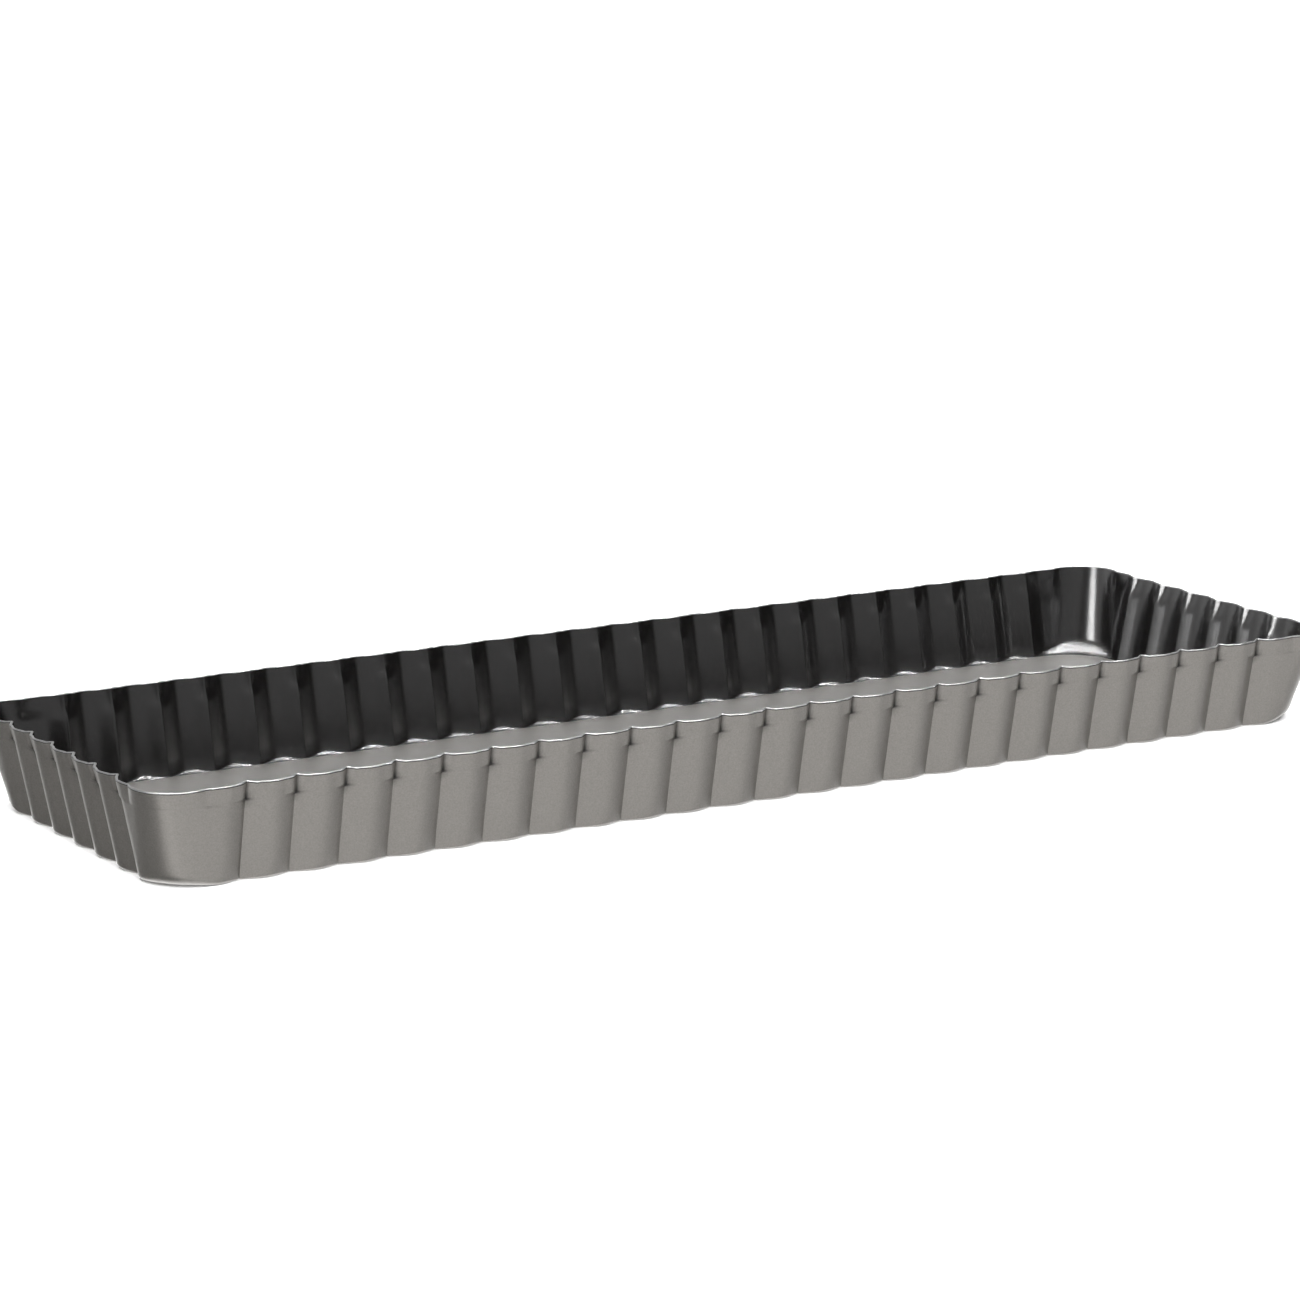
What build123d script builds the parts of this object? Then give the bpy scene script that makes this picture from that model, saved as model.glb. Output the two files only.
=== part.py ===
"""Rectangular fluted tart pan with a loose base: the fluted rim and the flat base plate that sits on its ledge.

Millimetres. The origin is the centre of the pan's footprint, on the surface that it stands on.
+X runs along the pan, +Z is up. Heights in the wall's profile are given as a depth below the rim's edge.
"""

import math
import os

from build123d import *

# Overall size
overall_length = 350.0
overall_width = 110.0
pan_height = 25.0
sheet = 0.6                     # thickness of the steel sheet of both pieces

# Flutes: panels that bulge outwards between sharp creases
long_pitch = 13.0               # crease to crease on the long sides
short_pitch = 12.45             # crease to crease on the short sides
long_full_flutes = 23           # whole flutes on a long side, without the two narrower end ones
short_full_flutes = 5
flute_depth = 2.35              # bulge of a panel beyond its creases, below the collar
wall_run = 5.05                 # how far the wall leans inwards from the rim to the base

# Collar: the band under the rim, where the creases stand upright
rim_crown = 1.9                 # bulge of a panel at the rim
collar_depth = 4.4
jog_depth = 6.8                 # below this the creases follow the wall's lean

# Corners
corner_reach = 2.1              # how far a corner stands out beyond the crease line at the rim
rim_corner_inset = 8.3          # corner arc's centre, measured in from both crease lines
base_corner_inset = 17.2
end_crease_inset = 12.4         # the shallow last crease on each side, in from the corner

# Base: the wall turns in through a bend to a ledge round an open middle
bend_height = 1.8
foot_bulge = 0.5                # bulge left at the foot of a panel
inner_foot_bulge = 0.3
corner_foot_reach = 5.3         # how far the corner's foot lies inside the crease line
crease_sheet = 0.75             # the sheet's thickness, measured across a folded crease
ledge_width = 16.0
ledge_corner_radius = 7.0

# Loose base plate
plate_gap = 0.35                # running gap to the feet of the creases
plate_corner_radius = 14.5

half_length = overall_length / 2 - corner_reach      # the rim's crease line on the short ends
half_width = overall_width / 2 - corner_reach        # the rim's crease line on the long sides
lean = wall_run / pan_height
fold_offset = flute_depth - rim_crown                # step of the creases under the collar
base_depth = pan_height - bend_height
ledge_top_depth = pan_height - sheet
cutter_rise = 1.0                                    # how far the hollow's cutter stands above the rim


def side_point(side, along, out):
    """A point on one of the four sides, counted anticlockwise from the front, by its place along and out."""
    turned = [(along, -half_width - out), (half_length + out, along),
              (-along, half_width + out), (-half_length - out, -along)]
    return turned[side]


def crease_places(side):
    """Places along a side of its creases, the shallow end ones included."""
    long_side = side % 2 == 0
    pitch, flutes = (long_pitch, long_full_flutes) if long_side else (short_pitch, short_full_flutes)
    end = (half_length if long_side else half_width) - end_crease_inset
    first = -pitch * flutes / 2
    return [-end] + [first + pitch * i for i in range(flutes + 1)] + [end]


def corner_middle(side, inset, reach):
    """The middle of the rounded corner that follows a side."""
    diagonal = inset - (inset + reach) * math.cos(math.pi / 4)
    place = half_length if side % 2 == 0 else half_width
    return side_point(side, place - diagonal, -diagonal)


def end_crease_reach(inset, reach):
    """How far out the corner's arc meets the last crease of a side."""
    return math.sqrt((inset + reach) ** 2 - (inset - end_crease_inset) ** 2) - inset


def outline(height, crease, crown, inset, reach):
    """A closed face of panel arcs at one height. The creases, crowns and corners are measured outwards from the
    rim's crease line, and the inset of the corner arcs' centres inwards."""
    edges = []
    end_reach = end_crease_reach(inset, reach)
    for side in range(4):
        places = crease_places(side)
        outs = [end_reach] + [crease] * (len(places) - 2) + [end_reach]
        points = [side_point(side, along, out) for along, out in zip(places, outs)]
        for i in range(len(places) - 1):
            via = side_point(side, (places[i] + places[i + 1]) / 2, crown)
            edges.append(ThreePointArc((*points[i], height), (*via, height), (*points[i + 1], height)))
        following = (side + 1) % 4
        start = side_point(following, crease_places(following)[0], end_reach)
        via = corner_middle(side, inset, reach)
        edges.append(ThreePointArc((*points[-1], height), (*via, height), (*start, height)))
    return Face(Wire(edges))


def wall_outline(depth, inwards=0.0):
    """The wall's outline at a depth below the rim, moved in by the sheet for the inside."""
    crease = 0.0 if depth <= collar_depth else -fold_offset - lean * depth
    crease -= crease_sheet * inwards / sheet
    inset = rim_corner_inset + (base_corner_inset - rim_corner_inset) * max(depth, 0) / pan_height
    return outline(pan_height - depth, crease, rim_crown - lean * depth - inwards, inset,
                   corner_reach - lean * depth - inwards)


def foot_outline(depth, bulge, inwards=0.0):
    """The outline where the wall's bend meets the base: nearly straight from crease to crease."""
    crease = -fold_offset - lean * depth - crease_sheet * inwards / sheet
    return outline(pan_height - depth, crease, crease + bulge, base_corner_inset, -corner_foot_reach - inwards)


def rounded_plate(length, width, radius, thickness, bottom):
    """A flat plate with rounded corners, standing on the given height."""
    return Pos(0, 0, bottom) * extrude(RectangleRounded(length, width, radius), thickness)


def foot_half_sizes():
    """Half length and half width of the space between the feet of the creases, on the ledge."""
    inset = fold_offset + lean * ledge_top_depth + crease_sheet
    return half_length - inset, half_width - inset


def make_fluted_rim():
    outside = loft([foot_outline(pan_height, foot_bulge), wall_outline(base_depth), wall_outline(jog_depth),
                    wall_outline(collar_depth), wall_outline(0)], ruled=True)
    hollow = loft([foot_outline(ledge_top_depth, inner_foot_bulge, sheet), wall_outline(base_depth - sheet, sheet),
                   wall_outline(jog_depth, sheet), wall_outline(collar_depth, sheet),
                   wall_outline(-cutter_rise, sheet)], ruled=True)
    long_foot, short_foot = foot_half_sizes()
    mouth = rounded_plate(2 * (long_foot - ledge_width), 2 * (short_foot - ledge_width), ledge_corner_radius,
                          3 * sheet, -sheet)
    return outside - hollow - mouth


def make_loose_base():
    long_foot, short_foot = foot_half_sizes()
    return rounded_plate(2 * (long_foot - plate_gap), 2 * (short_foot - plate_gap), plate_corner_radius,
                         sheet, sheet)


parts = {"fluted_rim": make_fluted_rim(), "loose_base": make_loose_base()}

os.makedirs("parts", exist_ok=True)
for name, shape in parts.items():
    export_step(shape, os.path.join("parts", name + ".step"))
    size = shape.bounding_box().size
    print(f"{name}: {size.X:.2f} x {size.Y:.2f} x {size.Z:.2f} mm, {shape.volume / 1000:.2f} cm3")
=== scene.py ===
"""Looks of the rectangular fluted tart pan: the pressed rim, its loose base plate, studio and camera.

Shapes are worked out in millimetres and put into Blender in metres. Depths are measured down from the
rim's edge. Outs are measured outwards from the line that joins the creases at the rim, and the insets
of corners inwards from it.
"""

import math

import bpy
import numpy as np
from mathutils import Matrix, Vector


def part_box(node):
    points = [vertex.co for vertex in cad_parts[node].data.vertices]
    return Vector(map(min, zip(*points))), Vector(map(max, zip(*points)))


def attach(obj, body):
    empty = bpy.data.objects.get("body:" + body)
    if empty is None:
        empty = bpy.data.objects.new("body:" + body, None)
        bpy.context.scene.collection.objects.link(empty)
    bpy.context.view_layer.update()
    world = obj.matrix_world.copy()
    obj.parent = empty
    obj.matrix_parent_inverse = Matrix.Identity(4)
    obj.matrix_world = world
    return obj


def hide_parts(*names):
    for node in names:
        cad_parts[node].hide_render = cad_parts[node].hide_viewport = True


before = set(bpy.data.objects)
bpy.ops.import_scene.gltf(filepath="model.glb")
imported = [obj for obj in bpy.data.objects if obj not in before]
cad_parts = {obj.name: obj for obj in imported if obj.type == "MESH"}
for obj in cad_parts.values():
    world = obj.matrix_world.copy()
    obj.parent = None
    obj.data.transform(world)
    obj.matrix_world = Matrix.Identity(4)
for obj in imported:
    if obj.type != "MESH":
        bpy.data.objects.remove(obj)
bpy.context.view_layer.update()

MM = 0.001

# Sizes read from the frame
rim_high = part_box("fluted_rim")[1] / MM
plate_low, plate_high = (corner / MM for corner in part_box("loose_base"))
pan_height = rim_high.z
sheet = plate_low.z                       # the plate stands on the ledge, one sheet above the floor

# Flutes
long_pitch, long_full_flutes = 13.0, 23
short_pitch, short_full_flutes = 12.45, 5
rim_crown = 1.9                           # bulge of a flute at the rim
flute_depth = 2.35                        # how far a crease lies in from the flutes beside it
flank_share = 0.55                        # straight flank of a flute, as a share of its half width
fold_width = 0.5                          # width of the sharper fold beside a crease
fold_share = 0.08                         # how much of the flute's depth that fold adds
lean = 5.05 / pan_height                  # how far the wall leans in for each millimetre down
crease_sheet = 0.75                       # the sheet measured across a crease
outer_rounding, inner_rounding = 0.25, 0.35    # rounding of a crease on the wall's two faces

# Collar: a band under the edge in which the creases are pushed back out
collar_depth = 4.3
collar_rounding = 0.15                    # rounding of a pushed out crease
outer_jog = (collar_depth, collar_depth + 0.9)      # depths between which a crease steps in again
inner_jog = (collar_depth - 1.0, collar_depth + 2.2)
notch_at_rim, notch_at_end = 1.7, 1.2     # half width of the groove left along a pushed out crease
notch_slope, fill_slope = 0.66, 0.04      # slope of the groove's sides, and from there to the flute
fill_blend = 0.12                         # softness of the line where that runs out into the flute
rim_dip, peak_reach = 0.3, 1.3            # the edge dips between creases, and peaks at them
dip_fade = 3.6                            # depth at which the dip of the edge has faded out
edge_band = 0.50                          # depth to which the band of painted shade under the bare edge reaches

# Corners
corner_reach = 2.1                        # out of a corner at the rim
rim_corner_inset, base_corner_inset = 8.3, 17.2     # insets of the centre of a corner's arc
corner_lean = (base_corner_inset - rim_corner_inset) / pan_height    # how fast that inset grows
end_crease_inset = 12.4                   # inset of the shallow crease at each end of a corner
corner_step, corner_step_height = 0.05, 0.5    # a corner steps in by this just under the collar

# Bend between wall and ledge
outer_bend, inner_bend = 1.3, 1.5         # radius at the middle of a flute
crease_bend = 0.4                         # radius at a crease
outer_corner_bend, inner_corner_bend = 3.2, 3.8
core_inset, core_radius = 30.0, 1.0       # outline from which the foot's outward directions are read

# Ledge
ledge_width = 16.0
mouth_corner_radius = 7.0
mouth_edge_share = 0.03                   # rounded edge of the mouth, as a share of the ledge's width

# Painted shade on the outside, in and beside the creases: reach along the wall from a crease, and
# strength
groove_reach, groove_strength = 0.45, 0.6
pit_reach, pit_height, pit_strength = 1.1, 0.6, 0.9     # where a pushed out crease steps in again
foot_reach, foot_strength = 0.7, 0.5
foot_shade_from, foot_shade_full = 4.5, 1.5      # heights between which the painted shade at the foot grows

# Base plate
plate_corner_radius = 14.5
least_ring_radius = 0.5                   # corner radius of the innermost rings
plate_edge_radius = 0.18                  # round between the plate's faces and its side
plate_ring_insets = [plate_high.y - 2.0, 36.0, 24.0, 12.0, 4.0, 0.8]     # from the middle outwards

# Half sizes of the rectangle of the crease lines at the rim
half_length = rim_high.x - corner_reach
half_width = rim_high.y - corner_reach

# Points of the mesh
FLUTE_STEPS = 16
END_FLUTE_STEPS = 12
CORNER_STEPS = 34
PLATE_CORNER_STEPS, PLATE_SIDE_STEPS = 20, 26

# Rows of the mesh: depths down the wall, degrees round an edge, and shares of the way over the ledge
COLLAR_DEPTHS = [sheet / 2, edge_band, 1.3, 2.2]
JOG_ROWS, JOG_MARGIN = 10, 0.1            # over the step of a crease, and how far they reach past it
WALL_DEPTHS = [7.4, 9.0, 11.5, 14.0, 16.5, 18.5, 20.0]
BEND_ANGLES = [90, 72, 54, 36, 18, 0]
EDGE_ANGLES = [30, 60, 90, 120, 150]
PLATE_EDGE_ANGLES = [0, 30, 60, 90]
LEDGE_SHARES = [0.2, 0.6]


def smoothstep(low, high, x):
    t = np.clip((x - low) / (high - low), 0.0, 1.0)
    return t * t * (3 - 2 * t)


def flute_share(distance, half_pitch, rounding):
    """0 at a flute's crease and 1 at its middle, by the distance from the nearest crease."""
    def rise(u):
        t = np.minimum(u / half_pitch, 1.0)
        slope = 2 / (1 + flank_share)
        arch = np.where(t < flank_share, slope * t, 1 - slope / 2 * (1 - t) ** 2 / (1 - flank_share))
        return (1 - fold_share) * arch + fold_share * np.minimum(u / fold_width, 1.0)
    foot = rise(rounding)
    return (rise(np.hypot(distance, rounding)) - foot) / (rise(half_pitch) - foot)


def below_collar(depth, inwards):
    """0 on the collar and 1 on the wall below it."""
    return float(smoothstep(*(inner_jog if inwards > 0 else outer_jog), depth))


def crown_out(depth, inwards):
    """Out of a flute's middle at a depth, for the outer surface or one moved inwards by the sheet."""
    return rim_crown - lean * depth - inwards


def wall_out(depth, inwards, distance, half_pitch):
    """Out of a place on the fluted wall, by its distance from the nearest crease."""
    rounding = inner_rounding if inwards > 0 else outer_rounding
    doubling = (crease_sheet / sheet - 1) * inwards
    share = flute_share(distance, half_pitch, rounding)
    return crown_out(depth, inwards) - (flute_depth + doubling) * (1 - share)


def collar_out(depth, inwards, distance, half_pitch):
    """The same on the collar, where the pushed out crease is filled in front of the fluted wall."""
    wall = wall_out(depth, inwards, distance, half_pitch)
    along = np.hypot(distance, collar_rounding) - collar_rounding
    notch = notch_at_rim + (notch_at_end - notch_at_rim) * min(depth / collar_depth, 1.0)
    fill = notch_slope * np.minimum(along, notch) + fill_slope * np.minimum(along, half_pitch)
    fill = fill - lean * depth - crease_sheet / sheet * inwards
    return (wall + fill + np.hypot(wall - fill, fill_blend)) / 2


def face_out(depth, inwards, distance, half_pitch):
    """The same at any depth: on the collar, on the wall below it or on the step between them."""
    collar = collar_out(depth, inwards, distance, half_pitch)
    wall = wall_out(depth, inwards, distance, half_pitch)
    return collar + (wall - collar) * below_collar(depth, inwards)


def full_flute(pitch, depth, inwards):
    """Places along one flute, its outs, and the distance of each from the nearest crease."""
    along = pitch * (0.5 - 0.5 * np.cos(math.pi * np.arange(FLUTE_STEPS) / FLUTE_STEPS))
    distance = np.minimum(along, pitch - along)
    return along, face_out(depth, inwards, distance, pitch / 2), distance


def corner_shares(near, far):
    """Places of a corner's points: along the end flute before it, as shares of the corner itself, and
    along the end flute after it."""
    eased = 0.5 - 0.5 * np.cos(math.pi * np.arange(END_FLUTE_STEPS) / END_FLUTE_STEPS)
    return eased * near, np.arange(CORNER_STEPS) / CORNER_STEPS, far * eased


def corner_turn(inset, reach):
    """How far a corner's arc is followed past a quarter turn at each end, to its end crease."""
    return math.asin((end_crease_inset - inset) / (inset + reach))


def smooth_corner(near, far, depth, inwards, inset, reach):
    """A corner without end creases, as below the collar: its points as insets from both crease lines,
    its normals, and the distances from the nearest whole crease. near and far are the insets of the last
    whole flute's crease before and after the corner."""
    radius, tilt = inset + reach, corner_turn(inset, reach)
    first, second = near - inset, far - inset
    total = first + radius * math.pi / 2 + second
    near_width, far_width = near - end_crease_inset, far - end_crease_inset
    lead, turned, trail = corner_shares(near_width, far_width)
    arc = first + radius * (turned * (math.pi / 2 + 2 * tilt) - tilt)
    path = np.concatenate([lead, arc, total - far_width + trail])
    angle = np.clip((path - first) / radius, 0.0, math.pi / 2)
    after = np.maximum(path - first - radius * math.pi / 2, 0.0)
    before = np.maximum(first - path, 0.0)
    normal = np.stack([np.sin(angle), np.cos(angle)], 1)
    point = np.stack([inset + before, np.full_like(path, inset)], 1)
    point[:, 1] += after
    point = point - normal * radius
    distance = np.minimum(path, total - path)
    sunk = crown_out(depth, inwards) - face_out(depth, inwards, distance, long_pitch / 2)
    return point + normal * sunk[:, None], normal, distance


def creased_corner(near, far, depth, inwards, inset, reach):
    """The same corner on the collar, with the shallow end crease on each side of it."""
    radius, tilt = inset + reach, corner_turn(inset, reach)
    end_reach = math.sqrt(radius ** 2 - (end_crease_inset - inset) ** 2) - inset
    near_width, far_width = near - end_crease_inset, far - end_crease_inset
    lead, turned, trail = corner_shares(near_width, far_width)

    def end_flute(from_crease, width):
        fall = np.maximum(2 * from_crease / width - 1, 0.0) ** 2
        drop = fall * (crown_out(depth, inwards) - end_reach)
        return face_out(depth, inwards, from_crease, width / 2) - drop

    before = np.stack([near - lead, -end_flute(lead, near_width)], 1)
    angle = -tilt + turned * (math.pi / 2 + 2 * tilt)
    middle = inset - radius * np.stack([np.sin(angle), np.cos(angle)], 1)
    after = np.stack([-end_flute(far_width - trail, far_width), end_crease_inset + trail], 1)
    return np.concatenate([before, middle, after])


def side_to_plan(side, along, out):
    """Plan coordinates of a place along one of the four sides, counted anticlockwise from the front."""
    turned = [(along, -half_width - out), (half_length + out, along),
              (-along, half_width + out), (-half_length - out, -along)]
    return np.stack([np.broadcast_to(v, np.shape(along)) for v in turned[side]], 1)


def wall_row(depth, inwards, bend=0.0, corner_bend=0.0, rise=0.0):
    """One closed row of plan points at a depth. For the bend at the foot, bend is the radius at a flute's
    middle, and rise runs from 0 where the bend meets the wall to 1 on the ledge. Returns the points, and
    for each one the radius of the bend and the distance from the nearest whole crease."""
    inset = rim_corner_inset + corner_lean * depth
    reach = crown_out(depth, inwards) - rim_crown + corner_reach
    if inwards == 0:
        reach = reach - corner_step * smoothstep(collar_depth, collar_depth + corner_step_height, depth)
    mix = below_collar(depth, inwards)
    points, radii, distances = [], [], []
    long_side = (half_length, long_pitch, long_full_flutes)
    short_side = (half_width, short_pitch, short_full_flutes)
    sides = [long_side, short_side, long_side, short_side]
    for side, (half_side, pitch, flutes) in enumerate(sides):
        next_half, next_pitch, next_flutes = sides[(side + 1) % 4]
        near = half_side - pitch * flutes / 2
        far = next_half - next_pitch * next_flutes / 2
        for flute in range(flutes):
            along, out, distance = full_flute(pitch, depth, inwards)
            radius = crease_bend + (bend - crease_bend) * flute_share(distance, pitch / 2, crease_bend)
            along = along + pitch * (flute - flutes / 2)
            points.append(side_to_plan(side, along, out - radius * rise))
            radii.append(radius)
            distances.append(distance)
        smooth, normal, distance = smooth_corner(near, far, depth, inwards, inset, reach)
        share = flute_share(distance, long_pitch / 2, crease_bend)
        local = smooth
        if mix < 1:
            local = creased_corner(near, far, depth, inwards, inset, reach) * (1 - mix) + smooth * mix
        roundness = np.minimum(2 * np.minimum(normal[:, 0], normal[:, 1]), 1)
        full_bend = bend + (corner_bend - bend) * roundness
        radius = crease_bend + (full_bend - crease_bend) * share
        local = local + normal * (radius * rise)[:, None]
        points.append(side_to_plan(side, half_side - local[:, 0], -local[:, 1]))
        radii.append(radius)
        distances.append(distance)
    return np.concatenate(points), np.concatenate(radii), np.concatenate(distances)


def rounded_outline(half_x, half_y, radius, template):
    """Plan points on a rounded rectangle of the given half sizes, each one straight in from a template
    point, or on its line to the centre of the corner."""
    flat = np.array([half_x - radius, half_y - radius])
    core = np.clip(template, -flat, flat)
    away = template - core
    reach = np.linalg.norm(away, axis=1, keepdims=True)
    return core + away / np.maximum(reach, 1e-9) * radius


def painted_crease_shade(depth, distance):
    """Share of painted shade in the grooves of the collar, where they end, and at the foot of a crease.
    """
    def near_crease(reach):
        return np.exp(-(distance / reach) ** 2)

    height = pan_height - depth
    groove = near_crease(groove_reach) * (1 - smoothstep(*outer_jog, depth))
    pit = near_crease(pit_reach) * np.exp(-((depth - sum(outer_jog) / 2) / pit_height) ** 2)
    foot = near_crease(foot_reach) * (1 - smoothstep(foot_shade_full, foot_shade_from, height))
    return np.clip(groove_strength * groove + pit_strength * pit + foot_strength * foot, 0.0, 1.0)


def wall_strip(inwards, bend, corner_bend, floor):
    """Rows of one face of the wall, from just under its edge down to the ledge's plane at the height
    floor. A row is its plan points, their heights and the painted shade on them."""
    top, bottom = inner_jog if inwards > 0 else outer_jog
    jog_depths = np.linspace(top - JOG_MARGIN, bottom + JOG_MARGIN, JOG_ROWS)
    core = (half_length - core_inset, half_width - core_inset, core_radius)
    strip = []
    for depth in np.concatenate([COLLAR_DEPTHS, jog_depths, WALL_DEPTHS]):
        plan, _, distance = wall_row(depth, inwards)
        dip = rim_dip * (1 - np.exp(-(distance / peak_reach) ** 2))
        crease_shade = painted_crease_shade(depth, distance)
        strip.append((plan, pan_height - depth - dip * max(0.0, 1 - depth / dip_fade), crease_shade))
    for angle in np.radians(BEND_ANGLES):
        low, radii, _ = wall_row(pan_height - floor, inwards, bend, corner_bend, 1 - math.sin(angle))
        heights = floor + radii * (1 - math.cos(angle))
        outwards = low - rounded_outline(*core, low)
        outwards /= np.linalg.norm(outwards, axis=1, keepdims=True)
        slope = lean + corner_lean * (np.abs(outwards).sum(axis=1) - 1)
        strip.append((low + outwards * (slope * (heights - floor))[:, None], heights, 0.0))
    return strip


def rows_of_rim():
    """Closed rows of the rim's skin, down the inside, round the ledge, up the outside and over the edge,
    each with the finish of the faces that follow it and with its painted crease shade."""
    inside = wall_strip(sheet, inner_bend, inner_corner_bend, sheet)
    outside = wall_strip(0.0, outer_bend, outer_corner_bend, 0.0)
    rows = []

    def add(plan, height, finish, crease_shade=0.0):
        rows.append((np.column_stack([plan, np.broadcast_to(height, len(plan))]), finish, crease_shade))

    for plan, height, _ in inside[:-1]:
        add(plan, height, "inside")
    add(*inside[-1][:2], "ledge")

    foot_inset = flute_depth - rim_crown + lean * (pan_height - sheet) + crease_sheet
    long_mouth, short_mouth = (half - foot_inset - ledge_width for half in (half_length, half_width))
    over, under = inside[-1][0], outside[-1][0]
    mouth_over = rounded_outline(long_mouth, short_mouth, mouth_corner_radius, over)
    mouth_under = rounded_outline(long_mouth, short_mouth, mouth_corner_radius, under)
    shares = [*LEDGE_SHARES, 1 - mouth_edge_share]
    for share, finish in zip(shares, ["ledge"] * len(LEDGE_SHARES) + ["edge"]):
        add(over + (mouth_over - over) * share, sheet, finish)
    for angle in np.radians(EDGE_ANGLES[::-1]):
        across = (1 - math.cos(angle)) / 2
        plan = mouth_under + (mouth_over - mouth_under) * across
        inset = (under - mouth_under) * (mouth_edge_share * (1 - math.sin(angle)))
        add(plan + inset, sheet * across, "edge")
    for share in reversed(shares):
        add(under + (mouth_under - under) * share, 0.0, "outside")

    outside.reverse()
    finishes = ["outside"] * (len(outside) - 2) + ["edge_band", "edge"]
    for (plan, height, crease_shade), finish in zip(outside, finishes):
        add(plan, height, finish, crease_shade)
    (rim_out, out_height, _), (rim_in, in_height, _) = outside[-1], inside[0]
    for angle in np.radians(EDGE_ANGLES):
        across = (1 - math.cos(angle)) / 2
        height = out_height + (in_height - out_height) * across + sheet / 2 * math.sin(angle)
        add(rim_out + (rim_in - rim_out) * across, height, "edge")
    return rows


def skin(name, rows, materials, closed):
    """A mesh of closed rows joined by quads. The rows themselves are in a loop if closed, or else the
    first and last are capped. materials gives the material of each finish."""
    count = len(rows[0][0])
    vertices = np.concatenate([row[0] for row in rows]) * MM
    faces, finishes = [], []
    names = list(materials)
    for i in range(len(rows) if closed else len(rows) - 1):
        following = (i + 1) % len(rows)
        for j in range(count):
            k = (j + 1) % count
            faces.append((i * count + j, i * count + k,
                          following * count + k, following * count + j))
        finishes += [names.index(rows[i][1])] * count
    if not closed:
        faces.append(tuple(reversed(range(count))))
        faces.append(tuple(range((len(rows) - 1) * count, len(rows) * count)))
        finishes += [names.index(rows[0][1]), names.index(rows[-1][1])]
    mesh = bpy.data.meshes.new(name)
    mesh.from_pydata(vertices.tolist(), [], faces)
    for material in materials.values():
        mesh.materials.append(material)
    mesh.polygons.foreach_set("material_index", finishes)
    mesh.polygons.foreach_set("use_smooth", [True] * len(faces))
    # painted shade in the creases, kept on the points for the coating to darken its colour by
    crease_shade = np.concatenate([np.broadcast_to(row[2], count) for row in rows])
    mesh.attributes.new("crease_shade", "FLOAT", "POINT").data.foreach_set("value", crease_shade.astype(np.float32))
    mesh.validate()
    mesh.update()
    piece = bpy.data.objects.new(name, mesh)
    bpy.context.scene.collection.objects.link(piece)
    return piece


# Materials

RAMP_FROM, RAMP_TO = 0.3, 0.7             # values of the noise between which a ramp runs
MIX_FIRST, MIX_SECOND, MIX_RESULT = 6, 7, 2    # colour sockets of a mix node
CLOUD_SCALE = 600                         # noise scale of the places where the coating is duller
# near black towards which the creases are painted, as shade
CREASE_SHADE_COLOUR = (0.02, 0.019, 0.018, 1)


def new_material(name):
    material = bpy.data.materials.new(name)
    material.use_nodes = True
    return material, material.node_tree.nodes, material.node_tree.links


def noise(nodes, links, coordinates, scale, detail):
    texture = nodes.new("ShaderNodeTexNoise")
    texture.inputs["Scale"].default_value = scale
    texture.inputs["Detail"].default_value = detail
    links.new(coordinates, texture.inputs["Vector"])
    return texture.outputs["Fac"]


def ramp(nodes, links, factor, stops):
    """The colour at a factor between stops, each a position and a colour."""
    node = nodes.new("ShaderNodeValToRGB")
    links.new(factor, node.inputs["Fac"])
    elements = node.color_ramp.elements
    elements[0].position, elements[0].color = stops[0][0], (*stops[0][1], 1)
    elements[1].position, elements[1].color = stops[-1][0], (*stops[-1][1], 1)
    for position, colour in stops[1:-1]:
        added = elements.new(position)
        added.color = (*colour, 1)
    return node.outputs["Color"]


def between(nodes, links, coordinates, scale, detail, first, second):
    """A colour that wanders between two with a noise."""
    factor = noise(nodes, links, coordinates, scale, detail)
    return ramp(nodes, links, factor, [(RAMP_FROM, first), (RAMP_TO, second)])


def bump(nodes, links, shader, height, distance, strength):
    node = nodes.new("ShaderNodeBump")
    node.inputs["Distance"].default_value = distance
    node.inputs["Strength"].default_value = strength
    links.new(height, node.inputs["Height"])
    links.new(node.outputs["Normal"], shader.inputs["Normal"])


def grey(value):
    return (value, value, value)


def coated_steel(name, dark, light, metallic, ior, smooth, rough, flake_scale, bump_height):
    """Sprayed coating: fine flakes between two colours, and a roughness that wanders between two
    values. The height of its bumps is in millimetres."""
    material, nodes, links = new_material(name)
    shader = nodes["Principled BSDF"]
    place = nodes.new("ShaderNodeTexCoord").outputs["Object"]
    colour = between(nodes, links, place, flake_scale, detail=4, first=dark, second=light)
    # the coating's colour is painted darker towards a near black in the creases, as shade
    crease_shade = nodes.new("ShaderNodeAttribute")
    crease_shade.attribute_name = "crease_shade"
    shaded = nodes.new("ShaderNodeMix")
    shaded.data_type = "RGBA"
    links.new(crease_shade.outputs["Fac"], shaded.inputs["Factor"])
    links.new(colour, shaded.inputs[MIX_FIRST])
    shaded.inputs[MIX_SECOND].default_value = CREASE_SHADE_COLOUR
    links.new(shaded.outputs[MIX_RESULT], shader.inputs["Base Color"])
    shader.inputs["Metallic"].default_value = metallic
    shader.inputs["IOR"].default_value = ior
    roughness = between(nodes, links, place, CLOUD_SCALE, detail=3,
                        first=grey(smooth), second=grey(rough))
    links.new(roughness, shader.inputs["Roughness"])
    height = noise(nodes, links, place, flake_scale * 0.8, detail=3)
    bump(nodes, links, shader, height, distance=bump_height * MM, strength=0.5)
    return material


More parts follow.
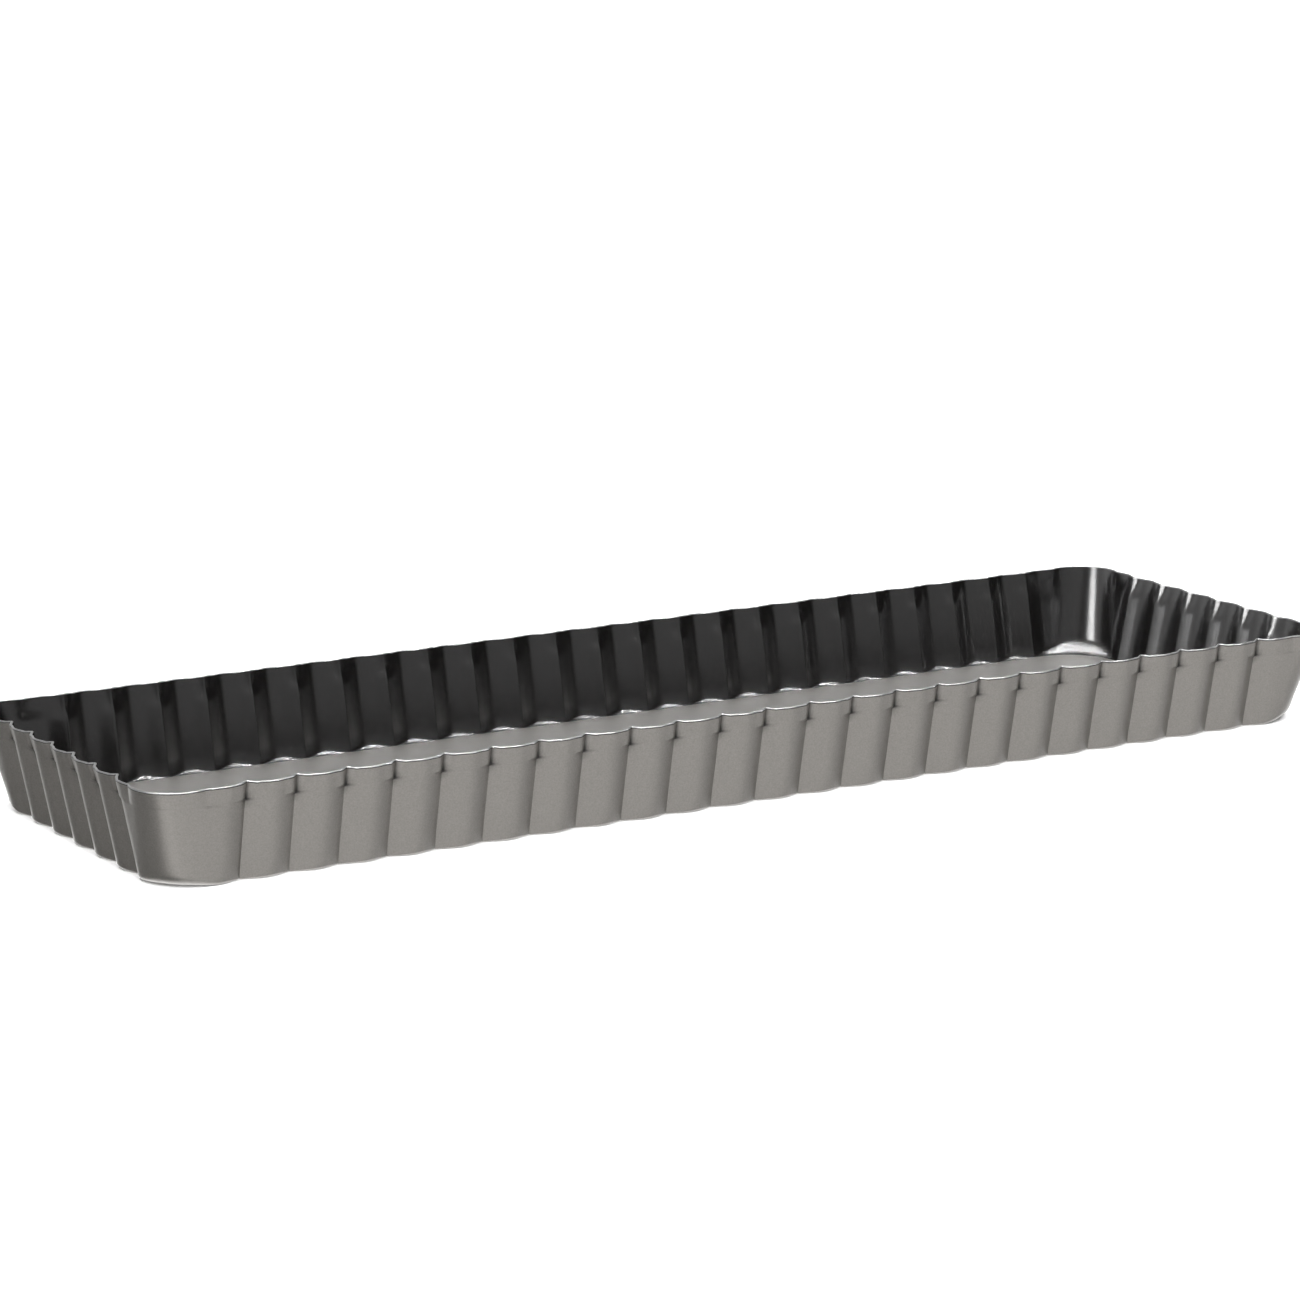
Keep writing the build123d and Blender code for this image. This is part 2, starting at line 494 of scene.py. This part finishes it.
def bare_steel(name, dark, light, smooth, rough, scale):
    """Uncoated steel, with a colour and a roughness that each wander between two values."""
    material, nodes, links = new_material(name)
    shader = nodes["Principled BSDF"]
    place = nodes.new("ShaderNodeTexCoord").outputs["Object"]
    colour = between(nodes, links, place, scale, detail=3, first=dark, second=light)
    links.new(colour, shader.inputs["Base Color"])
    shader.inputs["Metallic"].default_value = 1.0
    roughness = between(nodes, links, place, scale * 0.6, detail=3,
                        first=grey(smooth), second=grey(rough))
    links.new(roughness, shader.inputs["Roughness"])
    height = noise(nodes, links, place, scale * 2, detail=2)
    bump(nodes, links, shader, height, distance=0.01 * MM, strength=0.3)
    return material


# Pieces

def make_rim():
    materials = {
        "outside": coated_steel(
            "coating_outside", dark=(0.213, 0.203, 0.189), light=(0.257, 0.245, 0.229), metallic=0.9,
            ior=1.5, smooth=0.30, rough=0.38, flake_scale=2600, bump_height=0.015),
        "inside": coated_steel(
            "coating_inside", dark=(0.002, 0.0018, 0.0018), light=(0.003, 0.0027, 0.0027), metallic=0.0,
            ior=1.9, smooth=0.18, rough=0.22, flake_scale=3000, bump_height=0.004),
        "ledge": coated_steel(
            "coating_ledge", dark=(0.007, 0.007, 0.0063), light=(0.011, 0.011, 0.010), metallic=0.0,
            ior=1.55, smooth=0.34, rough=0.42, flake_scale=3000, bump_height=0.004),
        # a near black band under the bare edge, painted as the edge's shade
        "edge_band": coated_steel(
            "painted_edge_shade", dark=grey(0.01), light=grey(0.02), metallic=0.0,
            ior=1.5, smooth=0.5, rough=0.6, flake_scale=3000, bump_height=0.01),
        "edge": bare_steel(
            "bare_edge", dark=grey(0.24), light=grey(0.32), smooth=0.28, rough=0.38, scale=2000),
    }
    piece = skin("fluted_rim_skin", rows_of_rim(), materials, closed=True)
    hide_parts("fluted_rim")
    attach(piece, "rim")


def plate_ring(inset):
    """A closed ring of plan points, anticlockwise, at an inset from the plate's edge."""
    half = np.array([plate_high.x - inset, plate_high.y - inset])
    radius = max(plate_corner_radius - inset, least_ring_radius)
    arcs = []
    for quarter, signs in enumerate(((1, 1), (-1, 1), (-1, -1), (1, -1))):
        angle = np.linspace(0, math.pi / 2, PLATE_CORNER_STEPS) + quarter * math.pi / 2
        arcs.append((half - radius) * signs + radius * np.stack([np.cos(angle), np.sin(angle)], 1))
    points = []
    for arc, following in zip(arcs, arcs[1:] + arcs[:1]):
        share = np.linspace(0, 1, PLATE_SIDE_STEPS)[1:-1, None]
        points += [arc, arc[-1] + (following[0] - arc[-1]) * share]
    return np.concatenate(points)


def make_plate():
    """The loose base, as rings from the middle of its underside round its edge to that of its top."""
    rows = []

    def add(inset, height, finish):
        ring = plate_ring(inset)
        rows.append((np.column_stack([ring, np.full(len(ring), height)]), finish, 0.0))

    def round_over(angle):
        """Inset, and distance from the plate's face, at an angle round its edge."""
        return plate_edge_radius * (1 - math.sin(angle)), plate_edge_radius * (1 - math.cos(angle))

    for inset in plate_ring_insets:
        add(inset, plate_low.z, "under")
    for angle in np.radians(PLATE_EDGE_ANGLES):
        inset, above = round_over(angle)
        add(inset, plate_low.z + above, "side")
    for angle in np.radians(PLATE_EDGE_ANGLES[::-1]):
        inset, below = round_over(angle)
        add(inset, plate_high.z - below, "edge" if angle > 0 else "top")
    for inset in reversed(plate_ring_insets):
        add(inset, plate_high.z, "top")
    materials = {
        "under": bare_steel(
            "plate_underside", dark=(0.30, 0.295, 0.28), light=(0.36, 0.355, 0.34),
            smooth=0.4, rough=0.5, scale=1200),
        # painted shade: the plate's side and the round under it are the same steel painted near black
        "side": bare_steel(
            "plate_side", dark=grey(0.05), light=grey(0.08), smooth=0.4, rough=0.5, scale=1500),
        # painted highlight: the round over the plate's top edge is the same steel painted lighter than
        # the top
        "edge": bare_steel(
            "plate_edge", dark=(0.70, 0.69, 0.67), light=(0.80, 0.79, 0.77),
            smooth=0.25, rough=0.35, scale=1500),
        "top": bare_steel(
            "plate_top", dark=(0.545, 0.532, 0.510), light=(0.555, 0.542, 0.520),
            smooth=0.34, rough=0.37, scale=1200),
    }
    piece = skin("loose_base_plate", rows, materials, closed=False)
    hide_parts("loose_base")
    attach(piece, "base")
    piece.visible_shadow = False          # the raised plate leaves the studio light on the pan below it


# Studio

def make_floor(half_size=30.0):
    """A pale floor under the pan."""
    mesh = bpy.data.meshes.new("studio_floor")
    vertices = [(x * half_size, y * half_size, 0) for x, y in ((-1, -1), (1, -1), (1, 1), (-1, 1))]
    mesh.from_pydata(vertices, [], [(0, 1, 2, 3)])
    floor = bpy.data.objects.new("studio_floor", mesh)
    material, nodes, _ = new_material("pale_floor")
    nodes["Principled BSDF"].inputs["Base Color"].default_value = (0.85, 0.85, 0.85, 1)
    nodes["Principled BSDF"].inputs["Roughness"].default_value = 0.9
    nodes["Principled BSDF"].inputs["Specular IOR Level"].default_value = 0.1
    mesh.materials.append(material)
    bpy.context.scene.collection.objects.link(floor)
    floor.visible_glossy = False          # the coating mirrors the cards of the studio instead


def make_backdrop(radius=12.0, height=5.0, sides=64):
    """A white wall round the studio, seen by the camera alone."""
    mesh = bpy.data.meshes.new("studio_backdrop")
    turns = np.linspace(0, 2 * math.pi, sides, endpoint=False)
    ring = [(radius * math.cos(turn), radius * math.sin(turn)) for turn in turns]
    vertices = [(x, y, z) for z in (0.0, height) for x, y in ring]
    faces = [(i, (i + 1) % sides, (i + 1) % sides + sides, i + sides) for i in range(sides)]
    mesh.from_pydata(vertices, [], faces)
    material, nodes, _ = new_material("white_backdrop")
    nodes["Principled BSDF"].inputs["Base Color"].default_value = (0, 0, 0, 1)
    nodes["Principled BSDF"].inputs["Specular IOR Level"].default_value = 0.0
    nodes["Principled BSDF"].inputs["Emission Color"].default_value = (1, 1, 1, 1)
    nodes["Principled BSDF"].inputs["Emission Strength"].default_value = 1.0
    mesh.materials.append(material)
    backdrop = bpy.data.objects.new("studio_backdrop", mesh)
    bpy.context.scene.collection.objects.link(backdrop)
    backdrop.visible_diffuse = backdrop.visible_glossy = backdrop.visible_shadow = False


def soft_sun(name, direction, spread, strength):
    """A far softbox: direction points from the pan to it, and spread is the angle that it covers, in
    degrees."""
    light = bpy.data.lights.new(name, "SUN")
    light.angle, light.energy = math.radians(spread), strength
    light.cycles.use_multiple_importance_sampling = False
    lamp = bpy.data.objects.new(name, light)
    lamp.rotation_mode = "QUATERNION"
    lamp.rotation_quaternion = Vector(direction).to_track_quat("Z", "Y")
    bpy.context.scene.collection.objects.link(lamp)


def blended(nodes, links, value, low, high, first, second):
    """The first colour where value is under low and the second where it is over high."""
    share = nodes.new("ShaderNodeMapRange")
    share.inputs["From Min"].default_value = low
    share.inputs["From Max"].default_value = high
    links.new(value, share.inputs["Value"])
    mix = nodes.new("ShaderNodeMix")
    mix.data_type = "RGBA"
    links.new(share.outputs["Result"], mix.inputs["Factor"])
    links.new(first, mix.inputs[MIX_FIRST])
    links.new(second, mix.inputs[MIX_SECOND])
    return mix.outputs[MIX_RESULT]


def make_lights():
    """The surroundings that the coating mirrors: cards below the horizon, screens above it and a ceiling
    over them. Cards and screens are stops of bearing, in degrees clockwise from behind the pan, and
    brightness. Softboxes light the pan and the floor."""
    world = bpy.data.worlds.new("studio")
    bpy.context.scene.world = world
    world.use_nodes = True
    nodes, links = world.node_tree.nodes, world.node_tree.links
    split = nodes.new("ShaderNodeSeparateXYZ")
    links.new(nodes.new("ShaderNodeTexCoord").outputs["Generated"], split.inputs["Vector"])
    right, back, up = split.outputs
    turn = nodes.new("ShaderNodeMath")
    turn.operation = "ARCTAN2"
    links.new(right, turn.inputs[0])
    links.new(back, turn.inputs[1])
    bearing = nodes.new("ShaderNodeMapRange")
    bearing.inputs["From Min"].default_value = -math.pi
    bearing.inputs["From Max"].default_value = math.pi
    links.new(turn.outputs[0], bearing.inputs["Value"])

    def ring(stops):
        return ramp(nodes, links, bearing.outputs["Result"],
                    [(degrees / 360 + 0.5, grey(value)) for degrees, value in stops])

    horizon_from, horizon_to = -0.03, 0.0
    ceiling_from, ceiling_to = 0.35, 0.8
    cards = ring([(-180, 1.15), (-142, 1.15), (-122, 1.5), (-105, 1.5), (-94, 0.27), (-15, 0.27),
                  (5, 2.0), (60, 2.0), (78, 0.78), (110, 0.8), (135, 1.1), (180, 1.15)])
    screens = ring([(-180, 0.36), (-145, 0.36), (-135, 0.08), (-103, 0.06), (-88, 0.45), (-60, 0.9),
                    (10, 0.8), (32, 1.0), (54, 1.0), (68, 0.01), (130, 0.01), (147, 0.36), (180, 0.36)])
    ceiling = nodes.new("ShaderNodeRGB").outputs["Color"]
    ceiling.default_value = (0.25, 0.25, 0.25, 1)
    above = blended(nodes, links, up, ceiling_from, ceiling_to, screens, ceiling)
    around = blended(nodes, links, up, horizon_from, horizon_to, cards, above)
    links.new(around, nodes["Background"].inputs["Color"])
    soft_sun("overhead_softbox", direction=(0.05, -0.15, 0.98), spread=80, strength=8.5)
    soft_sun("left_strip_low", direction=(-0.94, -0.27, 0.15), spread=16, strength=0.6)
    soft_sun("left_strip_high", direction=(-0.88, -0.25, 0.40), spread=16, strength=0.6)


def make_camera():
    """A long lens that looks over the pan from in front of its left end."""
    azimuth, elevation = math.radians(31.28), math.radians(12.37)
    distance, slide, raise_view = 1110.45, 7.1, 3.9
    forward = Vector((math.sin(azimuth) * math.cos(elevation),
                      math.cos(azimuth) * math.cos(elevation),
                      -math.sin(elevation)))
    right = forward.cross(Vector((0, 0, 1))).normalized()
    up = right.cross(forward)
    pan_middle = Vector((0, 0, pan_height))
    data = bpy.data.cameras.new("camera")
    data.sensor_width, data.lens = 36.0, 118.5
    data.clip_start, data.clip_end = 0.05, 100.0
    camera = bpy.data.objects.new("camera", data)
    camera.location = (pan_middle - forward * distance - right * slide + up * raise_view) * MM
    camera.rotation_mode = "QUATERNION"
    camera.rotation_quaternion = forward.to_track_quat("-Z", "Y")
    bpy.context.scene.collection.objects.link(camera)
    bpy.context.scene.camera = camera


make_rim()
make_plate()
make_floor()
make_backdrop()
make_lights()
make_camera()
bpy.context.scene.view_settings.view_transform = "Standard"
